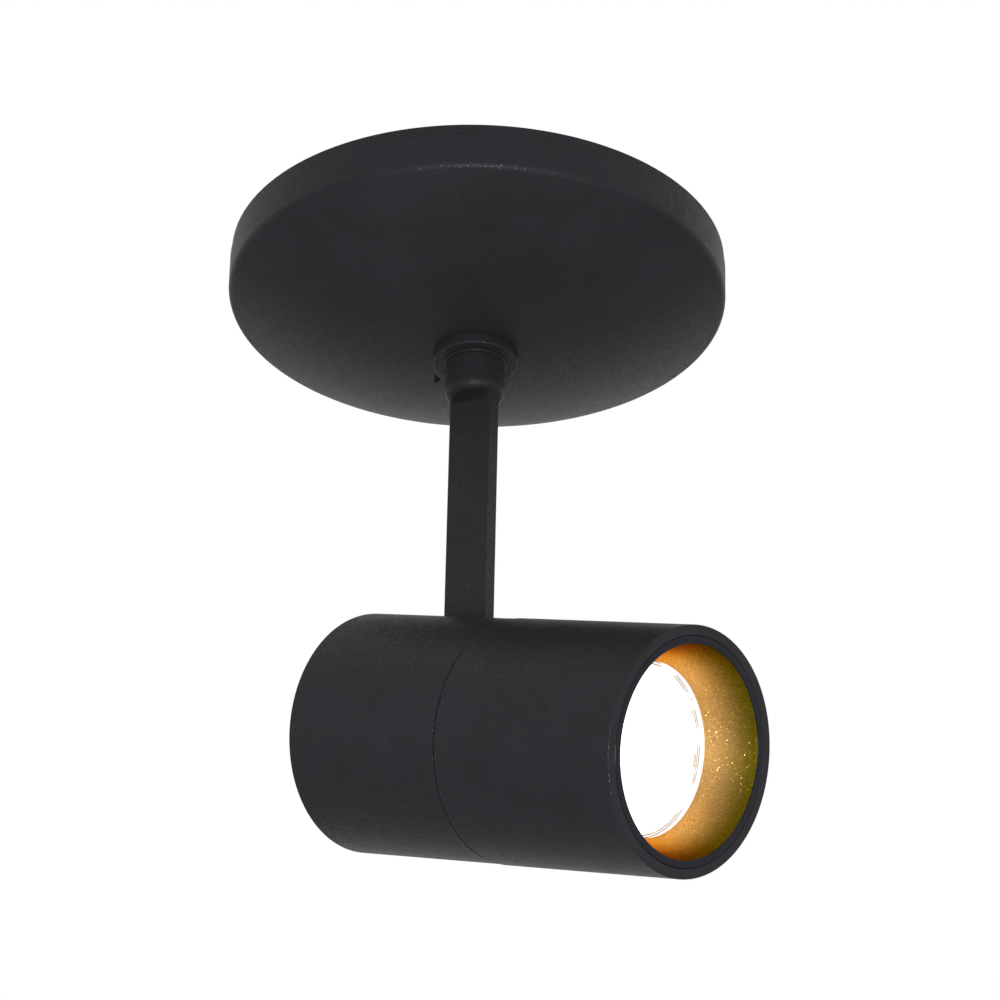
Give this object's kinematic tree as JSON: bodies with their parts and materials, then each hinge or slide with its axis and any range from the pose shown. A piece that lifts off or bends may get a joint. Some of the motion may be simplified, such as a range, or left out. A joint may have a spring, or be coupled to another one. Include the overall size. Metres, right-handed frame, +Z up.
{
  "type": "ceiling spotlight",
  "caption": "Surface mounted ceiling spotlight: domed round canopy, swivel collar, flat arm and a tilting two-part cylindrical head with a gold inner cone.",
  "frame": {"origin": "centre of the canopy where it meets the ceiling, midway between the two ceiling box screws", "axes": "+Z up into the ceiling; +X the way the head aims at rest; Y along the tilt axis"},
  "size_m": [0.1399, 0.127, 0.1874],
  "materials": {
    "black_powder_coat": "fine textured satin black powder coat",
    "black_anodised": "satin black",
    "gold_anodised": "satin gold with a fine metallic sparkle",
    "black_rubber": "matte",
    "plated_steel": "zinc plated",
    "bright_steel": "bright",
    "white_plastic": "fine matte",
    "terminal_plastic": "translucent white",
    "brass": "turned",
    "lead_insulation": "satin silicone",
    "bare_aluminium": "turned",
    "friction_plastic": "natural",
    "ceramic": "bisque",
    "reflector_glass": "facetted mirror coat",
    "front_glass": "clear",
    "lamp_source": "warm white light source"
  },
  "bodies": {
    "base": {"mounting_plate": "black_powder_coat", "wire_grommet": "black_rubber", "canopy_cover": "black_powder_coat", "bridge_strap": "plated_steel", "strap_screws": "plated_steel", "threaded_nipple": "plated_steel", "nipple_nuts": "plated_steel", "hub_flange": "black_powder_coat", "stop_pin": "plated_steel", "transformer": "white_plastic", "transformer_screws": "plated_steel", "terminal_block": "terminal_plastic", "terminal_screws": "plated_steel", "block_screws": "plated_steel", "earth_screw": "brass", "supply_leads": "lead_insulation", "lamp_cable": "lead_insulation"},
    "arm": {"swivel_collar": "black_powder_coat", "arm_grub_screw": "plated_steel", "thrust_washer": "black_anodised", "wave_washer": "bright_steel", "stop_washer": "plated_steel", "swivel_nut": "plated_steel", "arm_bar": "black_powder_coat", "arm_cores": "lead_insulation"},
    "head": {"rear_casing": "black_powder_coat", "thread_ring": "bare_aluminium", "bulkhead": "bare_aluminium", "bulkhead_screws": "plated_steel", "pivot_bracket": "plated_steel", "pivot_screw": "plated_steel", "pivot_nut": "plated_steel", "friction_washers": "friction_plastic", "lampholder": "ceramic", "holder_screws": "plated_steel", "lamp_reflector": "reflector_glass", "lamp_glass": "front_glass", "lamp_capsule": "lamp_source", "lamp_pins": "bright_steel", "head_leads": "lead_insulation"},
    "front": {"front_casing": "black_powder_coat", "bezel_ring": "black_anodised", "baffle_cone": "gold_anodised", "snap_ring": "bright_steel"}
  },
  "joints": [
    {"name": "pan", "type": "hinge", "parent": "base", "child": "arm", "pos_m": [0, 0, 0], "axis": [0, 0, 1], "range_deg": [-165, 165]},
    {"name": "tilt", "type": "hinge", "parent": "arm", "child": "head", "pos_m": [0, 0, -0.1367], "axis": [0, 1, 0], "range_deg": [-18.7, 71.3]},
    {"name": "front_unscrew", "type": "slide", "parent": "head", "child": "front", "axis": [0.9472, 0, -0.3206], "range_m": [0, 0.02]}
  ]
}
